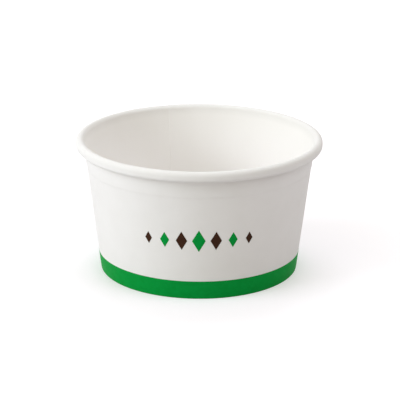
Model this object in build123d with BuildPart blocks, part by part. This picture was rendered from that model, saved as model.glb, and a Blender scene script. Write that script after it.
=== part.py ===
from build123d import *
import math
import os

# Paper ice cream cup, in millimetres. The cup stands on its foot: z = 0 is the plane of
# the foot, the axis of the cup is Z, and the printed front faces -Y.

# Driving sizes of the cup
rim_diameter = 87.0       # over the rolled rim, which a lid is pushed on to
cup_height = 47.9
foot_diameter = 70.1      # where the outside of the wall meets the foot's plane

# The coated board, and how closely its sealed layers lie
wall_board = 0.38
base_board = 0.33
seal_gap = 0.02

# Rolled rim
rim_overhang = 3.0        # from the wall under the roll to the outermost edge
rim_height = 3.65
tail_gap = 0.06           # between the tucked-in edge of the board and the wall
over_flat_count = 5       # the round of the roll is drawn as flats, over the top
under_flat_count = 4      # and back under to the wall

# Base panel with its turned-down skirt, and the wall's lower edge folded up behind it
base_recess = 6.0         # from the foot's plane up to the underside of the panel
base_bend = 0.5
fold_bend = 0.18          # less than half the board, so that the lap covers it
fold_headroom = 0.4

# Side seam, where the two ends of the blank are lapped and sealed
lap_azimuth = 106.0       # of the cut edge that shows inside the cup
lap_overlap = 8.0         # both widths are measured round the foot
lap_ramp = 5.0
lap_fade = 0.05           # depth of the ramp where it runs into the roll

# Print on the outside of the wall
ink = 0.04
ink_gap = 0.01
band_bottom = 0.25        # just above the bend of the fold
band_top = 6.7
motif_count = 7
motif_spacing = 5.9       # round the wall, between the centres of two motifs
motif_height = 8.0        # of the middle motif
motif_width = 4.6
motif_level = 22.0        # centre of the row above the foot's plane
motif_end_share = 0.55    # size of the last motif against the middle one

overrun = 1.0             # of a cutting shape past what it cuts

rim_radius = rim_diameter / 2
foot_radius = foot_diameter / 2

# The wall leans out by the same angle all the way up
neck_radius = rim_radius - rim_overhang
neck_height = cup_height - rim_height
wall_slope = (neck_radius - foot_radius) / neck_height
wall_angle = math.atan(wall_slope)
lean = (math.sin(wall_angle), math.cos(wall_angle))
lean_degrees = math.degrees(wall_angle)


def layer_radius(height, depth=0):
    """Radius of a layer of the wall, its depth measured square to the outside."""
    return foot_radius + height * wall_slope - depth / lean[1]


def board_radius(height, depth=0):
    """Radius of the middle of the wall's board, with its outside at a depth."""
    return layer_radius(height, depth + wall_board / 2)


def polar(radius, angle, centre=(0, 0)):
    """Point at a radius and an angle round a centre."""
    turn = math.radians(angle)
    return (centre[0] + radius * math.cos(turn), centre[1] + radius * math.sin(turn))


def arc_points(centre, radius, start, end, flat_count):
    """Points that divide an arc into equal flats, with both of its ends."""
    step = (end - start) / flat_count
    return [polar(radius, start + step * number, centre) for number in range(flat_count + 1)]


# Roll of the rim. Its upper arc is tangent to the wall, to the top of the cup and to the
# outermost edge. Its lower arc comes back under and stops short of the wall.
roll_edge = rim_radius - wall_board / 2
roll_top = cup_height - wall_board / 2
arc_divisor = 1 + 1 / lean[1]
over_arc = (roll_edge - board_radius(roll_top)) / (arc_divisor - wall_slope)
under_arc = (rim_overhang - tail_gap / lean[1]) / (arc_divisor + wall_slope) - wall_board / 2
over_centre = (roll_edge - over_arc, roll_top - over_arc)
under_centre = (roll_edge - under_arc, neck_height + wall_board / 2 + under_arc)
half_turn = 180

# Fold at the foot. The wall's edge goes in under the skirt of the base and up behind it.
fold_depth = wall_board + base_board + 2 * seal_gap
fold_top = base_recess - fold_headroom
fold_level = wall_board / 2

# Lap of the side seam, as angles round the cup
lap_end = lap_azimuth
lap_start = lap_end - math.degrees(lap_overlap / foot_radius)
ramp_angle = math.degrees(lap_ramp / foot_radius)


def lap_wedge(height, face, start, step=wall_board):
    """Cross-section of the lap on a face radius: a step up, then a ramp back down.

    The ramp runs on to half a step below the face, so that the wedge crosses it cleanly.
    """
    floor = face - step / 2
    end = lap_end + ramp_angle + ramp_angle / 2
    with BuildSketch(Plane.XY.offset(height)) as wedge:
        with BuildLine():
            Line(polar(floor, start), polar(face + step, start))
            if start < lap_end:
                CenterArc((0, 0), face + step, start, lap_end - start)
            ThreePointArc(
                polar(face + step, lap_end),
                polar((face + step + floor) / 2, (lap_end + end) / 2),
                polar(floor, end),
            )
            CenterArc((0, 0), floor, end, start - end)
        make_face()
    return wedge.sketch


def lap_faces(heights, depth):
    """Cross-sections of the outer lap, on the layer of the wall at a depth."""
    return [lap_wedge(height, layer_radius(height, depth), lap_start) for height in heights]


def round_faces(heights, depth):
    """Full round cross-sections out to the layer of the wall at a depth."""
    faces = []
    for height in heights:
        with BuildSketch(Plane.XY.offset(height)) as face:
            Circle(layer_radius(height, depth))
        faces.append(face.sketch)
    return faces


# Wall: one blank of board, folded at the foot, rolled at the rim and lapped at the back
ramp_bottom = base_recess + base_board
ramp_top = over_centre[1]

with BuildPart() as side_wall:
    with BuildSketch(Plane.XZ) as wall_section:
        with BuildLine():
            Polyline(
                (board_radius(fold_top, fold_depth), fold_top),
                (board_radius(fold_level, fold_depth), fold_level),
                (board_radius(fold_level), fold_level),
                *arc_points(over_centre, over_arc, half_turn - lean_degrees, 0, over_flat_count),
                *arc_points(under_centre, under_arc, 0, -half_turn - lean_degrees, under_flat_count),
            )
        trace(line_width=wall_board)
        chamfer(wall_section.vertices().sort_by(Axis.Y)[:2], fold_bend)
    revolve(axis=Axis.Z)

    # The outer end of the blank lies on the inner one and comes back down beyond it
    loft(lap_faces((0, under_centre[1]), 0), ruled=True)

    # Inside, the cut edge of the inner end leaves the same ramp sunk in the wall
    ramp_foot = lap_wedge(ramp_bottom, layer_radius(ramp_bottom, wall_board), lap_end)
    ramp_head = lap_wedge(ramp_top, layer_radius(ramp_top, wall_board), lap_end, lap_fade)
    loft([ramp_foot, ramp_head], ruled=True, mode=Mode.SUBTRACT)

side_wall.part.label = "side_wall"

# Base: a round panel, its edge turned down into a skirt that lies inside the wall
skirt_depth = wall_board + seal_gap + base_board / 2
skirt_bottom = wall_board + seal_gap + base_board / 2 * lean[0]
panel_level = base_recess + base_board / 2

with BuildPart() as base_disc:
    with BuildSketch(Plane.XZ):
        with BuildLine():
            Polyline(
                (0, panel_level),
                (layer_radius(panel_level, skirt_depth) - base_bend, panel_level),
                (layer_radius(panel_level - base_bend, skirt_depth), panel_level - base_bend),
                (layer_radius(skirt_bottom, skirt_depth), skirt_bottom),
            )
        trace(line_width=base_board)
    revolve(axis=Axis.Z)

base_disc.part.label = "base_disc"

# Printed band: a layer of ink round the foot that follows the wall, over the lap too
ink_bottom = -ink_gap
ink_top = -ink_gap - ink
band_levels = (band_bottom, band_top)

with BuildPart() as printed_band:
    loft(round_faces(band_levels, ink_top), ruled=True)
    loft(lap_faces(band_levels, ink_top), ruled=True)
    loft(round_faces(band_levels, ink_bottom), ruled=True, mode=Mode.SUBTRACT)
    loft(lap_faces(band_levels, ink_bottom), ruled=True, mode=Mode.SUBTRACT)

printed_band.part.label = "printed_band"

# Row of lozenges round the front, smaller towards its ends and in two colours by turns
front_azimuth = -90
row_radius = layer_radius(motif_level)
row_middle = (motif_count - 1) / 2
row_reach = motif_height / 2 + overrun
row_levels = (motif_level - row_reach, motif_level + row_reach)


def lozenge_prisms(numbers):
    """Lozenges of the row by number, as prisms that stand through the ink."""
    with BuildPart() as prisms:
        for number in numbers:
            place = number - row_middle
            size_share = 1 - (1 - motif_end_share) * abs(place) / row_middle
            half_width = motif_width * size_share / 2
            half_height = motif_height * size_share / 2
            angle = math.degrees(place * motif_spacing / row_radius)
            centre = (*polar(row_radius, front_azimuth + angle), motif_level)
            across = (*polar(1, angle), 0)
            outward = (*polar(1, front_azimuth + angle), 0)
            with BuildSketch(Plane(centre, x_dir=across, z_dir=outward)):
                with BuildLine():
                    Polyline(
                        (-half_width, 0),
                        (0, -half_height),
                        (half_width, 0),
                        (0, half_height),
                        close=True,
                    )
                make_face()
            extrude(amount=overrun, both=True)
    return prisms.part


with BuildPart() as green_motifs:
    loft(round_faces(row_levels, ink_top), ruled=True)
    loft(round_faces(row_levels, ink_bottom), ruled=True, mode=Mode.SUBTRACT)
    add(lozenge_prisms(range(1, motif_count, 2)), mode=Mode.INTERSECT)

green_motifs.part.label = "green_motifs"

with BuildPart() as brown_motifs:
    loft(round_faces(row_levels, ink_top), ruled=True)
    loft(round_faces(row_levels, ink_bottom), ruled=True, mode=Mode.SUBTRACT)
    add(lozenge_prisms(range(0, motif_count, 2)), mode=Mode.INTERSECT)

brown_motifs.part.label = "brown_motifs"

os.makedirs("parts", exist_ok=True)
for piece in (side_wall, base_disc, printed_band, green_motifs, brown_motifs):
    export_step(piece.part, f"parts/{piece.part.label}.step")
    print(piece.part.label, len(piece.part.solids()), round(piece.part.volume, 2), piece.part.is_valid)
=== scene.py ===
import bpy
import bmesh
import numpy as np
from math import radians
from mathutils import Matrix, Vector


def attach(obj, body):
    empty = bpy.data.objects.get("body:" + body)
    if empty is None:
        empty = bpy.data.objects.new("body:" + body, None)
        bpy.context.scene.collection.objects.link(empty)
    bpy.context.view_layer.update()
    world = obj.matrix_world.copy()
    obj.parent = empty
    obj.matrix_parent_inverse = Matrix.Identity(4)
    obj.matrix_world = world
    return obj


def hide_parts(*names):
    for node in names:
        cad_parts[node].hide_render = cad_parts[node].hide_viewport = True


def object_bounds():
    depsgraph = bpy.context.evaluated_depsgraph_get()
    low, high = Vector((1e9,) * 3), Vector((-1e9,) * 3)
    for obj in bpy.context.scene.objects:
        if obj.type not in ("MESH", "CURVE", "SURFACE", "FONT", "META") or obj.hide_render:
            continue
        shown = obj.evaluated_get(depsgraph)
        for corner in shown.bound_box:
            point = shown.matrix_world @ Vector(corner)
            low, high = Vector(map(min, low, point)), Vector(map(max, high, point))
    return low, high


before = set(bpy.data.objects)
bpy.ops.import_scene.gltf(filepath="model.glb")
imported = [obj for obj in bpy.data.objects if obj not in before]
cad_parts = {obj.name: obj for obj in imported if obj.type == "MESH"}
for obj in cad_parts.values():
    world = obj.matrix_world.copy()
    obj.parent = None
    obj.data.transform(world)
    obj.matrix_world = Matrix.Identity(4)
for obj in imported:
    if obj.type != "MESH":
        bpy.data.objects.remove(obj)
cadLow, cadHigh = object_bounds()
mm = 0.001   # metres; the sizes of the cup are given in millimetres
rimRadius, cupHeight = cadHigh.x / mm, cadHigh.z / mm
print("Frame: rim", round(2 * rimRadius, 2), "mm, height", round(cupHeight, 2), "mm")


# Straight stretch of a section: evenly spaced points from start to end, each with the
# unit normal to the right of the way it runs. Columns: radius, height, normal.
def straightRun(start, end, count):
    start, end = np.array(start, float), np.array(end, float)
    along = (end - start) / np.linalg.norm(end - start)
    points = start + (end - start) * np.linspace(0, 1, count)[:, None]
    return np.hstack((points, np.tile((along[1], -along[0]), (count, 1))))


# Round stretch of a section: the centre plus a radius times cosine and sine of an angle
# that runs evenly. Clockwise, the right-hand normal points to the centre, else away.
def roundRun(centre, radius, startAngle, endAngle, count):
    angle = np.radians(np.linspace(startAngle, endAngle, count))
    outward = np.stack((np.cos(angle), np.sin(angle)), axis=1)
    side = -1 if endAngle < startAngle else 1
    return np.hstack((np.array(centre) + radius * outward, side * outward))


# Runs joined end to end, without the points that two of them share.
def joinRuns(*runs):
    return np.vstack([runs[0]] + [run[1:] for run in runs[1:]])


# Eases from 0 to 1 as x does: three x squared minus two x cubed.
def ease(x):
    x = np.clip(x, 0, 1)
    return x * x * (3 - 2 * x)


# A section carried round the axis: each point's radius and height, moved along its
# normal by a depth that may change with the azimuth. Gives rows by columns of places.
def carryRound(section, azimuth, depth):
    depth = depth + np.zeros((len(section), len(azimuth)))
    radius = section[:, 0, None] + section[:, 2, None] * depth
    height = section[:, 1, None] + section[:, 3, None] * depth
    turn = np.radians(azimuth)[None, :]
    return np.stack((radius * np.cos(turn), radius * np.sin(turn), height), axis=2)


# Quads between two rows of numbered places: each corner with the next one along.
def quadsBetween(low, high):
    corners = (low[..., :-1], low[..., 1:], high[..., 1:], high[..., :-1])
    return np.stack(corners, axis=-1).reshape(-1, 4)


# A layer with a front and a back on grids of one size: quads over both grids and along
# their edges. Joined round, the last column meets the first one and has no edge.
def layerOf(front, back, joinedRound=False):
    index = np.arange(front[..., 0].size * 2).reshape(2, *front.shape[:2])
    if joinedRound:
        index = np.concatenate((index, index[:, :, :1]), axis=2)
    face, other = index
    strips = [
        quadsBetween(face[:-1], face[1:]),
        quadsBetween(other[1:], other[:-1]),
        quadsBetween(other[0], face[0]),
        quadsBetween(face[-1], other[-1]),
    ]
    if not joinedRound:
        strips.append(quadsBetween(face[:, 0], other[:, 0]))
        strips.append(quadsBetween(other[:, -1], face[:, -1]))
    return np.concatenate((front.reshape(-1, 3), back.reshape(-1, 3))), np.vstack(strips)


# One mesh of several layers: their places end to end, in metres, and their quads with
# each layer's numbers moved up by the places before it.
def meshOf(name, layers):
    before = np.cumsum([0] + [len(places) for places, quads in layers])
    places = np.concatenate([places for places, quads in layers]) * mm
    quads = np.concatenate([layer[1] + moved for layer, moved in zip(layers, before)])
    mesh = bpy.data.meshes.new(name)
    mesh.from_pydata(places, [], quads)
    return mesh


# The blank of board that makes the wall.
wallBoard = {
    "thickness": 0.38,
    "footRadius": 35.05,      # outside of the wall in the plane of the foot
    "rimOverhang": 3.0,       # from the wall out to the edge of the roll
    "rimHeight": 3.65,
    "tailGap": 0.06,          # between the tucked-in edge and the wall
    "tailLength": 0.45,
    "foldDepth": 0.75,        # from the wall to its edge folded up behind the base
    "foldTop": 5.6,
    "foldBend": 0.2,
    "columns": 336,           # round the cup
    "foldRows": 4,
    "bendRows": 6,
    "wallRows": 22,
    "rollRows": 20,           # in each of the two arcs of the roll
}

# The wall leans out by one slope from the foot to the neck under the roll.
neckRadius = rimRadius - wallBoard["rimOverhang"]
neckHeight = cupHeight - wallBoard["rimHeight"]
wallSlope = (neckRadius - wallBoard["footRadius"]) / neckHeight
lean = np.arctan(wallSlope)
leanAngle, leanCosine, leanSine = np.degrees(lean), np.cos(lean), np.sin(lean)


# Radius of a layer of the wall at a height: that of the foot plus the height times the
# slope, less its depth, which is measured square to the outside.
def layerRadius(height, depth=0):
    return wallBoard["footRadius"] + height * wallSlope - depth / leanCosine


# The ring pressed in below the rim: the outside stands out above it by a small step.
pressedRing = {
    "height": 37.4,           # where the ring ends and the step begins
    "run": 0.9,
    "step": 0.1,              # on the outside alone
    "neckFade": 1.4,          # height below the roll in which step and seam are pressed flat
    "rows": 7,
    "neckRows": 4,
}


# How far the outside stands out above the ring: one eased step up, times an eased way
# back down to the neck.
def ringRise(height):
    rise = ease((height - pressedRing["height"]) / pressedRing["run"])
    return pressedRing["step"] * rise * ease((neckHeight - height) / pressedRing["neckFade"])


# The base: a panel of thinner board with its edge turned down into a skirt.
basePanel = {
    "thickness": 0.33,
    "recess": 6.0,            # from the plane of the foot up to the underside
    "bend": 0.7,
    "sealGap": 0.02,
    "skirtBottom": 0.52,
    "dish": 0.12,             # how far the middle of the panel sags
    "panelRows": 14,
    "bendRows": 9,
    "skirtRows": 3,
    "mergeDistance": 1e-7,    # metres; the columns meet in one point on the axis
}

# Section of the base: out from the axis, down over the bend and along the skirt. The
# panel sags by the dish in the middle, less and less towards the bend.
baseHalf = basePanel["thickness"] / 2
panelLevel = basePanel["recess"] + baseHalf
skirtDepth = wallBoard["thickness"] + basePanel["sealGap"] + baseHalf
baseBend = basePanel["bend"]
skirtRadius = layerRadius(panelLevel - baseBend, skirtDepth)
bendCentre = (skirtRadius - baseBend / leanCosine, panelLevel - baseBend)
skirtBend = roundRun(bendCentre, baseBend, 90, -leanAngle, basePanel["bendRows"])
skirtEnd = (layerRadius(basePanel["skirtBottom"], skirtDepth), basePanel["skirtBottom"])
baseSection = joinRuns(
    straightRun((0, panelLevel), skirtBend[0, :2], basePanel["panelRows"]),
    skirtBend,
    straightRun(skirtBend[-1, :2], skirtEnd, basePanel["skirtRows"]),
)
panelRadius = baseSection[:basePanel["panelRows"], 0]
sag = basePanel["dish"] * (1 - ease(panelRadius / bendCentre[0]))
baseSection[:basePanel["panelRows"], 1] -= sag
baseAzimuth = np.linspace(0, 360, wallBoard["columns"], endpoint=False)
baseMesh = meshOf("BasePanel", [layerOf(
    carryRound(baseSection, baseAzimuth, baseHalf),
    carryRound(baseSection, baseAzimuth, -baseHalf),
    joinedRound=True,
)])
welded = bmesh.new()
welded.from_mesh(baseMesh)
bmesh.ops.remove_doubles(welded, verts=welded.verts, dist=basePanel["mergeDistance"])
welded.to_mesh(baseMesh)
welded.free()
print("Base:", len(baseSection), "rows from the axis to the skirt's edge")

# The seam at the back, where the outer end of the blank lies on the inner end.
lapSeam = {
    "azimuth": 106.0,         # of the cut edge that shows inside, in degrees
    "overlap": 8.0,           # round the foot
    "ramp": 5.0,              # where the outer end comes down beyond the inner one
    "edgeSlant": 0.05,        # of the cut edge outside
    "insideStep": 0.14,       # the cut edge inside is pressed down and coated over
    "insideSlant": 0.35,
    "footFade": 0.55,         # height in which the foot presses the outside step flat
    "baseFade": 1.6,          # and of the inside step above the base
    "shareOnRoll": 0.55,      # what the roll, which is pressed too, keeps of the step
    "slantColumns": 6,
    "rampColumns": 10,
}


# Angle round the axis, in degrees, of a width measured round the foot.
def footAngle(width):
    return np.degrees(width / wallBoard["footRadius"])


# Azimuths of the columns, from the cut edge outside the cup once round to its foot.
lapAngle, rampAngle = footAngle(lapSeam["overlap"]), footAngle(lapSeam["ramp"])
slantAngle, insideSlant = footAngle(lapSeam["edgeSlant"]), footAngle(lapSeam["insideSlant"])
columnTurn = np.unique(np.concatenate((
    np.linspace(0, 360 - slantAngle, wallBoard["columns"]),
    lapAngle + insideSlant * np.linspace(0, 1, lapSeam["slantColumns"]),
    lapAngle + rampAngle * np.arange(1, lapSeam["rampColumns"] + 1) / lapSeam["rampColumns"],
)).round(6))
columnAzimuth = lapSeam["azimuth"] - lapAngle + columnTurn

# Outside, the lap stands out by one board over the overlap and comes down along the ramp.
# Inside, the wall drops a little beyond the inner end's cut edge, along the same ramp.
rampFall = 1 - ease((columnTurn - lapAngle) / rampAngle)
lapOutside = wallBoard["thickness"] * rampFall
lapInside = lapSeam["insideStep"] * rampFall * ease((columnTurn - lapAngle) / insideSlant)
print("Seam:", len(columnTurn), "columns round the cup")

# The print: a band round the foot, which ends on one of the wall's rows, and the ink.
bandPrint = {
    "top": 6.7,
    "bareRows": 2,            # of the bend at the foot, below the print
    "gap": 0.01,              # from the board to the ink
    "ink": 0.04,
}

# Section of the wall: up the outside from the edge folded in at the foot, over the roll
# and back under it. All radii are those of the middle of the board.
halfBoard = wallBoard["thickness"] / 2
bend = wallBoard["foldBend"]
bendLevel = halfBoard + bend
foldMiddle = wallBoard["foldDepth"] + halfBoard
foldRadius, standRadius = layerRadius(bendLevel, foldMiddle), layerRadius(bendLevel, halfBoard)
innerCentre = (foldRadius + bend / leanCosine, bendLevel)
outerCentre = (standRadius - bend / leanCosine, bendLevel)
innerBend = roundRun(innerCentre, bend, 180 - leanAngle, 270, wallBoard["bendRows"])
outerBend = roundRun(outerCentre, bend, 270, 360 - leanAngle, wallBoard["bendRows"])
foldStart = (layerRadius(wallBoard["foldTop"], foldMiddle), wallBoard["foldTop"])

# The upper arc of the roll touches the wall, the top and the outermost edge of the cup.
# The lower arc comes back under to the wall and ends in the tucked-in edge.
rollEdge, rollTop = rimRadius - halfBoard, cupHeight - halfBoard
rollDivisor = 1 + 1 / leanCosine
overArc = (rollEdge - layerRadius(rollTop, halfBoard)) / (rollDivisor - wallSlope)
tuckedWidth = wallBoard["rimOverhang"] - wallBoard["tailGap"] / leanCosine
underArc = tuckedWidth / (rollDivisor + wallSlope) - halfBoard
overCentre = (rollEdge - overArc, rollTop - overArc)
underCentre = (rollEdge - underArc, neckHeight + halfBoard + underArc)
overRun = roundRun(overCentre, overArc, 180 - leanAngle, 0, wallBoard["rollRows"])
underRun = roundRun(underCentre, underArc, 0, -180 - leanAngle, wallBoard["rollRows"])
tailEnd = underRun[-1, :2] + wallBoard["tailLength"] * np.array((leanSine, leanCosine))

# Heights of the wall's rows: even ones, and more where the ring, the band and the seam
# need them.
wallFoot = bendLevel - bend * leanSine
wallTop = overCentre[1] + overArc * leanSine
wallHeights = np.unique(np.concatenate((
    np.linspace(wallFoot, wallTop, wallBoard["wallRows"]),
    pressedRing["height"] + pressedRing["run"] * np.linspace(0, 1, pressedRing["rows"]),
    [bandPrint["top"], bandPrint["top"] + lapSeam["baseFade"] / 2],
    neckHeight - pressedRing["neckFade"] * np.linspace(0, 1, pressedRing["neckRows"]),
)).round(6))
wallRun = np.stack((
    layerRadius(wallHeights, halfBoard),
    wallHeights,
    np.full(len(wallHeights), leanCosine),
    np.full(len(wallHeights), -leanSine),
), axis=1)
wallSection = joinRuns(
    straightRun(foldStart, innerBend[0, :2], wallBoard["foldRows"]),
    innerBend,
    outerBend,
    wallRun,
    overRun,
    underRun,
    straightRun(underRun[-1, :2], tailEnd, 2),
)

# How much of the seam's steps each row of the wall keeps. Outside, the step is pressed
# flat at the foot and at the neck; inside, it begins above the base and the roll has less.
foldRows = wallBoard["foldRows"] + 2 * wallBoard["bendRows"] - 2
rowHeight = wallSection[:, 1]
rowNumber = np.arange(len(wallSection))
onRoll = rowNumber >= foldRows + len(wallHeights) - 1
neckShare = ease((neckHeight - rowHeight) / pressedRing["neckFade"])
outsideShare = ease((rowHeight - halfBoard) / (lapSeam["footFade"] - halfBoard)) * neckShare
panelTop = basePanel["recess"] + basePanel["thickness"]
towardsRoll = np.where(onRoll, 1, ease((rowHeight - neckHeight) / (wallTop - neckHeight)))
rollShare = 1 - (1 - lapSeam["shareOnRoll"]) * towardsRoll
insideShare = ease((rowHeight - panelTop) / lapSeam["baseFade"]) * rollShare
insideShare[-wallBoard["rollRows"]:] *= np.linspace(1, 0, wallBoard["rollRows"])

rowRise = ringRise(rowHeight)
outsideDepth = outsideShare[:, None] * lapOutside
wallFront = carryRound(wallSection, columnAzimuth, halfBoard + rowRise[:, None] + outsideDepth)
wallBack = carryRound(wallSection, columnAzimuth, insideShare[:, None] * lapInside - halfBoard)
wallMesh = meshOf("SideWall", [layerOf(wallFront, wallBack, joinedRound=True)])
print("Wall:", len(wallSection), "rows from the folded edge to the tucked-in edge")

# The band stands off the wall's own rows, from the bend at the foot up to its top edge.
# It starts at the lap's cut edge, goes once round the cup and ends below that edge.
inkUnder, inkOver = bandPrint["gap"], bandPrint["gap"] + bandPrint["ink"]
bandStart = foldRows - wallBoard["bendRows"] + bandPrint["bareRows"]
bandRows = (rowNumber >= bandStart) & (rowHeight < bandPrint["top"] + inkUnder)
bandDepth = halfBoard + outsideDepth[bandRows]
bandMesh = meshOf("FootBand", [layerOf(
    carryRound(wallSection[bandRows], columnAzimuth, bandDepth + inkOver),
    carryRound(wallSection[bandRows], columnAzimuth, bandDepth + inkUnder),
)])

# The row of lozenges on the front.
lozengeRow = {
    "count": 7,
    "spacing": 5.9,           # round the wall, between two middles
    "height": 8.0,            # of the middle lozenge
    "width": 4.6,
    "level": 22.0,            # of the row's middle above the foot
    "endShare": 0.55,         # size of the last lozenge against the middle one
    "azimuth": -90,           # of the row's middle, in degrees
    "rows": 15,
}


# A place on the printed face at a height and an azimuth, both arrays of one shape: on the
# cone, with the ring's rise and a distance square to the board.
def printedPlace(height, azimuth, distance):
    radius = layerRadius(height) + ringRise(height) + leanCosine * distance
    turn = np.radians(azimuth)
    level = height - leanSine * distance
    return np.stack((radius * np.cos(turn), radius * np.sin(turn), level), axis=-1)


# One lozenge of the row: a square grid turned by an eighth and stretched, so that its
# corners lie left, right, above and below, and wrapped on to the printed face.
def lozengeLayer(number):
    middle = (lozengeRow["count"] - 1) / 2
    place = number - middle
    size = 1 - (1 - lozengeRow["endShare"]) * abs(place) / middle
    across, up = np.meshgrid(*[np.linspace(-1, 1, lozengeRow["rows"])] * 2)
    height = lozengeRow["level"] + size * lozengeRow["height"] / 2 * (up + across) / 2
    shift = place * lozengeRow["spacing"] + size * lozengeRow["width"] / 2 * (across - up) / 2
    azimuth = np.degrees(shift / layerRadius(lozengeRow["level"])) + lozengeRow["azimuth"]
    front = printedPlace(height, azimuth, inkOver)
    return layerOf(front, printedPlace(height, azimuth, inkUnder))


lozenges = [lozengeLayer(number) for number in range(lozengeRow["count"])]
greenMesh = meshOf("GreenLozenges", lozenges[1::2])
brownMesh = meshOf("BrownLozenges", lozenges[0::2])
print("Print: the band has", int(bandRows.sum()), "rows, the row has", len(lozenges), "lozenges")


# A new material, its node tree and its shader.
def newFinish(name):
    material = bpy.data.materials.new(name)
    material.use_nodes = True
    return material, material.node_tree, material.node_tree.nodes["Principled BSDF"]


# Links a socket to another one or sets its value. A colour's three parts become opaque.
def setSocket(tree, socket, value):
    if isinstance(value, bpy.types.NodeSocket):
        tree.links.new(value, socket)
    elif isinstance(value, tuple) and len(value) == 3 and len(socket.default_value) == 4:
        socket.default_value = (*value, 1)
    else:
        socket.default_value = value


# A new node with its settings. Inputs go by their names, an underscore for each space.
def addNode(tree, kind, settings=(), **inputs):
    node = tree.nodes.new(kind)
    for key, value in dict(settings).items():
        setattr(node, key, value)
    for key, value in inputs.items():
        setSocket(tree, node.inputs[key.replace("_", " ")], value)
    return node


# The places that a pattern is laid out by: the object's own coordinates.
def objectPlaces(tree):
    return addNode(tree, "ShaderNodeTexCoord").outputs["Object"]


# Noise with grains of about a size in millimetres, from 0 to 1 round the middle. Each
# octave of its detail is as strong as the one before times the roughness.
def grain(tree, size, detail, roughness=0.55):
    node = addNode(
        tree, "ShaderNodeTexNoise", Vector=objectPlaces(tree),
        Scale=1 / (size * mm), Detail=detail, Roughness=roughness,
    )
    return node.outputs["Fac"]


# A value carried evenly from one range on to another, and held at its ends.
def spread(tree, value, low, high, newLow, newHigh):
    node = addNode(
        tree, "ShaderNodeMapRange", Value=value,
        From_Min=low, From_Max=high, To_Min=newLow, To_Max=newHigh,
    )
    return node.outputs["Result"]


# The first colour less a share of it, plus that share of the second one.
def blend(tree, share, first, second):
    node = addNode(tree, "ShaderNodeMix", {"data_type": "RGBA"})
    setSocket(tree, node.inputs["Factor"], share)
    setSocket(tree, node.inputs[6], first)    # A and B of a colour mix have these places
    setSocket(tree, node.inputs[7], second)
    return node.outputs[2]


# A bump as high as a pattern times a depth in millimetres, over another bump if given.
def bump(tree, pattern, depth, under=None):
    node = addNode(tree, "ShaderNodeBump", Height=pattern, Strength=1.0, Distance=depth * mm)
    if under is not None:
        setSocket(tree, node.inputs["Normal"], under)
    return node.outputs["Normal"]


# The value that a mesh carries under a name.
def carried(tree, name):
    return addNode(tree, "ShaderNodeAttribute", {"attribute_name": name}).outputs["Fac"]


# Board, coated white. Colours are linear red, green and blue, sizes millimetres.
whiteBoard = {
    "colour": (0.888, 0.868, 0.850),
    "mottledColour": (0.870, 0.849, 0.830),
    # inside the cup a lighter white: painted light, for the light bounced round inside it
    "insideLitColour": (0.932, 0.910, 0.890),
    "rawColour": (0.72, 0.68, 0.6),
    "mottleSize": 7.0,
    "fibreSize": 0.35,
    "fibreDepth": 0.004,
    "waveSize": 9.0,
    "waveDepth": 0.012,
    "grainRange": (0.3, 0.7),  # of the noise, over which a pattern goes from end to end
    "roughness": (0.5, 0.58),
    "specular": 0.1,
}


# Coated board: faintly mottled, with the fibres and slow waves of the board below the coating,
# a lighter white inside the cup, which is painted light for the light bounced round in it, and
# the bare fibres along a cut edge.
def boardFinish(name, values):
    material, tree, shader = newFinish(name)
    patches = grain(tree, values["mottleSize"], detail=3)
    mottle = spread(tree, patches, *values["grainRange"], 0, 1)
    colour = blend(tree, mottle, values["colour"], values["mottledColour"])
    # The inside faces take the lighter white: painted light inside the cup.
    colour = blend(tree, carried(tree, "insideFace"), colour, values["insideLitColour"])
    colour = blend(tree, carried(tree, "cutEdge"), colour, values["rawColour"])
    setSocket(tree, shader.inputs["Base Color"], colour)
    setSocket(tree, shader.inputs["Specular IOR Level"], values["specular"])
    fibre = grain(tree, values["fibreSize"], detail=4)
    roughness = spread(tree, fibre, *values["grainRange"], *values["roughness"])
    setSocket(tree, shader.inputs["Roughness"], roughness)
    waves = bump(tree, grain(tree, values["waveSize"], detail=1), values["waveDepth"])
    setSocket(tree, shader.inputs["Normal"], bump(tree, fibre, values["fibreDepth"], waves))
    return material


# The two inks of the print.
greenInk = {
    "colour": (0.0005, 0.285, 0.04),
    "thinColour": (0.001, 0.31, 0.047),
    "mottleSize": 2.2,
    "mottleRange": (0.35, 0.65),
    "fibreSize": 0.4,
    "fibreDepth": 0.002,
    "fibreRange": (0.3, 0.7),
    "roughness": (0.5, 0.6),
    "specular": 0.05,
}
brownInk = dict(greenInk, colour=(0.045, 0.017, 0.009), thinColour=(0.055, 0.022, 0.012))


# Ink: thinner and thicker in small patches, satin, with the board's fibres under it.
def inkFinish(name, values):
    material, tree, shader = newFinish(name)
    patches = grain(tree, values["mottleSize"], detail=5)
    thinness = spread(tree, patches, *values["mottleRange"], 0, 1)
    colour = blend(tree, thinness, values["colour"], values["thinColour"])
    setSocket(tree, shader.inputs["Base Color"], colour)
    setSocket(tree, shader.inputs["Specular IOR Level"], values["specular"])
    fibre = grain(tree, values["fibreSize"], detail=4)
    roughness = spread(tree, fibre, *values["fibreRange"], *values["roughness"])
    setSocket(tree, shader.inputs["Roughness"], roughness)
    setSocket(tree, shader.inputs["Normal"], bump(tree, fibre, values["fibreDepth"]))
    return material


# Gives a mesh one number for each of its vertices or faces, under a name.
def carry(mesh, name, domain, numbers):
    values = mesh.attributes.new(name, "FLOAT", domain).data
    values.foreach_set("value", numbers.astype(np.float32))


# How much of the inside's lighter white, which is painted light, each vertex takes: one share
# for each row of a layer's back, and none on its front. A mesh without such shares is inside all
# over.
def markInside(mesh, backShare=None):
    shares = np.ones(len(mesh.vertices))
    if backShare is not None:
        behind = len(mesh.vertices) // 2
        shares[:behind] = 0
        shares[behind:] = np.repeat(backShare, behind // len(backShare))
    carry(mesh, "insideFace", "POINT", shares)


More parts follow.
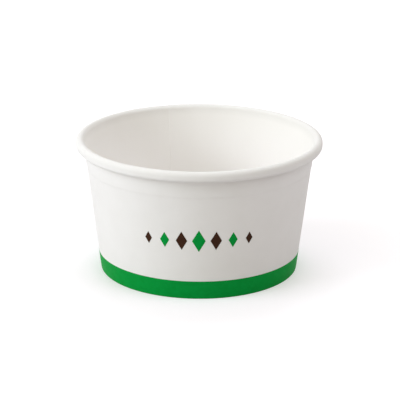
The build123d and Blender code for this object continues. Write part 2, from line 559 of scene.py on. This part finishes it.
# Cut edges: faces whose normal, taken level, lies more than half along the way round the
# cup, and the two ends of the section, which are the last faces of the layer.
def markCutEdges(mesh):
    centre, normal = np.empty((2, len(mesh.polygons) * 3))
    mesh.polygons.foreach_get("center", centre)
    mesh.polygons.foreach_get("normal", normal)
    centre, normal = centre.reshape(-1, 3), normal.reshape(-1, 3)
    roundWay = np.stack((-centre[:, 1], centre[:, 0]), axis=1)
    roundWay /= np.linalg.norm(roundWay, axis=1)[:, None]
    cut = np.abs((roundWay * normal[:, :2]).sum(axis=1)) > 0.5
    cut[-2 * len(columnAzimuth):] = True
    carry(mesh, "cutEdge", "FACE", cut)


# Smooth shading, with the edges kept sharp where two faces turn by more than an angle in
# degrees. Then the piece goes on its body and replaces its node.
def finishPiece(mesh, material, node, creaseAngle=35):
    mesh.shade_smooth()
    mesh.set_sharp_from_angle(angle=radians(creaseAngle))
    mesh.materials.append(material)
    piece = bpy.data.objects.new(mesh.name, mesh)
    bpy.context.scene.collection.objects.link(piece)
    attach(piece, "root")
    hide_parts(node)
    print("Made", mesh.name, "with", len(mesh.polygons), "faces")


markCutEdges(wallMesh)
markInside(wallMesh, 1 - towardsRoll)
markInside(baseMesh)
boardMaterial = boardFinish("CoatedWhiteBoard", whiteBoard)
greenMaterial = inkFinish("GreenInk", greenInk)
brownMaterial = inkFinish("BrownInk", brownInk)
finishPiece(wallMesh, boardMaterial, "side_wall")
finishPiece(baseMesh, boardMaterial, "base_disc")
finishPiece(bandMesh, greenMaterial, "printed_band")
finishPiece(greenMesh, greenMaterial, "green_motifs")
finishPiece(brownMesh, brownMaterial, "brown_motifs")


# Whether a ray comes from the camera or from a mirroring or clear surface: the largest of
# the three marks, which are 1 or 0.
def seenDirectly(tree):
    rays = addNode(tree, "ShaderNodeLightPath").outputs
    seen = rays["Is Camera Ray"]
    for mark in ("Is Glossy Ray", "Is Transmission Ray"):
        either = addNode(tree, "ShaderNodeMath", {"operation": "MAXIMUM"})
        setSocket(tree, either.inputs[0], seen)
        setSocket(tree, either.inputs[1], rays[mark])
        seen = either.outputs[0]
    return seen


# The floor is a wide plain sheet of paper. To the camera and in reflections it also
# glows, a little more away from the foot and from the lamps, so that it is white and
# keeps the cup's shadow.
floorSheet = {
    "halfWidth": 3.0,         # metres
    "colour": (0.622, 0.597, 0.62),
    "roughness": 0.9,
    "glow": ((36, 0.42), (95, 0.58), (1800, 0.85)),   # millimetres from the axis, strength
}
reach = floorSheet["halfWidth"]
floorMesh = bpy.data.meshes.new("Floor")
floorCorners = [(-reach, -reach, 0), (reach, -reach, 0), (reach, reach, 0), (-reach, reach, 0)]
floorMesh.from_pydata(floorCorners, [], [(0, 1, 2, 3)])
floor = bpy.data.objects.new("Floor", floorMesh)
bpy.context.scene.collection.objects.link(floor)

floorMaterial, floorTree, floorShader = newFinish("PlainFloor")
floorMesh.materials.append(floorMaterial)
setSocket(floorTree, floorShader.inputs["Base Color"], floorSheet["colour"])
setSocket(floorTree, floorShader.inputs["Roughness"], floorSheet["roughness"])
setSocket(floorTree, floorShader.inputs["Emission Color"], (1.0, 1.0, 1.0))
away = addNode(
    floorTree, "ShaderNodeVectorMath", {"operation": "LENGTH"}, Vector=objectPlaces(floorTree),
).outputs["Value"]
farthest = floorSheet["glow"][-1][0]
awayShare = spread(floorTree, away, 0, farthest * mm, 0, 1)
glowRamp = addNode(floorTree, "ShaderNodeValToRGB", Fac=awayShare)
glowRamp.color_ramp.elements.new(0.5)   # the middle one of three stops
for stop, (distance, strength) in zip(glowRamp.color_ramp.elements, floorSheet["glow"]):
    stop.position, stop.color = distance / farthest, (strength, strength, strength, 1)
glow = spread(floorTree, seenDirectly(floorTree), 0, 1, 0, glowRamp.outputs["Color"])
setSocket(floorTree, floorShader.inputs["Emission Strength"], glow)
print("Floor:", 2 * reach, "m wide")

# Soft lamps, each a square sheet of light that looks at the cup. Their places are given by
# the azimuth from the front towards the right and the height above level, in degrees, and
# their sides in metres.
lampDistance = 1.6   # metres
coolColour, neutralColour = (0.96, 1.0, 1.13), (0.88, 1.0, 0.935)
lamps = {
    "KeyLamp": {"azimuth": -70, "height": 32, "side": 0.9, "watts": 12.3, "colour": coolColour},
    "LowKeyLamp": {"azimuth": -70, "height": 6, "side": 1.0, "watts": 3.5, "colour": neutralColour},
    "FrontLamp": {"azimuth": -45, "height": 22, "side": 0.9, "watts": 4.3, "colour": neutralColour},
    "RightLamp": {"azimuth": 70, "height": 40, "side": 1.0, "watts": 7.2, "colour": coolColour},
    "BackLamp": {"azimuth": 180, "height": 62, "side": 0.9, "watts": 8.2, "colour": coolColour},
}


# The way from the cup to a lamp: right by the sine of the azimuth and forward by its
# cosine, both times the cosine of the height, and up by the sine of the height.
def wayTo(lamp):
    azimuth, height = radians(lamp["azimuth"]), radians(lamp["height"])
    level = np.cos(height)
    return Vector((np.sin(azimuth) * level, -np.cos(azimuth) * level, np.sin(height)))


aim = Vector((0, 0, cupHeight * mm / 2))
for name, lamp in lamps.items():
    light = bpy.data.lights.new(name, "AREA")
    light.shape, light.size = "SQUARE", lamp["side"]
    light.energy, light.color = lamp["watts"], lamp["colour"]
    lampObject = bpy.data.objects.new(name, light)
    lampObject.location = aim + wayTo(lamp) * lampDistance
    lampObject.rotation_euler = (-wayTo(lamp)).to_track_quat("-Z", "Y").to_euler()
    bpy.context.scene.collection.objects.link(lampObject)

# The sky lights the cup softly. To the camera and in reflections it is white.
skyLight = {
    "colour": (1.12, 1.0, 0.66),
    "strength": 0.26,
}
world = bpy.data.worlds.new("Studio")
bpy.context.scene.world = world
world.use_nodes = True
skyTree = world.node_tree
soft = skyTree.nodes["Background"]
setSocket(skyTree, soft.inputs["Color"], skyLight["colour"])
setSocket(skyTree, soft.inputs["Strength"], skyLight["strength"])
white = addNode(skyTree, "ShaderNodeBackground", Color=(1.0, 1.0, 1.0))
sky = addNode(skyTree, "ShaderNodeMixShader")
setSocket(skyTree, sky.inputs[0], seenDirectly(skyTree))
setSocket(skyTree, sky.inputs[1], soft.outputs[0])
setSocket(skyTree, sky.inputs[2], white.outputs[0])
setSocket(skyTree, skyTree.nodes["World Output"].inputs["Surface"], sky.outputs[0])
print("Light:", len(lamps), "lamps and a soft sky")

# The camera looks down on the cup as the photograph does, from about 0.64 m away.
cameraView = {
    "place": (0.0, -0.6051, 0.22729),  # metres
    "lookDown": 18.57,                 # degrees below level
    "turnRight": 0.032,
    "tilt": 0.25,                      # the picture turned clockwise
    "lens": 160.93,                    # millimetres
    "sensor": 36,
}
cameraData = bpy.data.cameras.new("Camera")
cameraData.lens, cameraData.sensor_width = cameraView["lens"], cameraView["sensor"]
camera = bpy.data.objects.new("Camera", cameraData)
camera.location = cameraView["place"]
camera.rotation_euler = (
    Matrix.Rotation(radians(-cameraView["turnRight"]), 3, "Z")
    @ Matrix.Rotation(radians(90 - cameraView["lookDown"]), 3, "X")
    @ Matrix.Rotation(radians(cameraView["tilt"]), 3, "Z")
).to_euler()
bpy.context.scene.collection.objects.link(camera)
bpy.context.scene.camera = camera
bpy.context.scene.view_settings.view_transform = "Standard"
print("Camera:", cameraView["lens"], "mm lens")
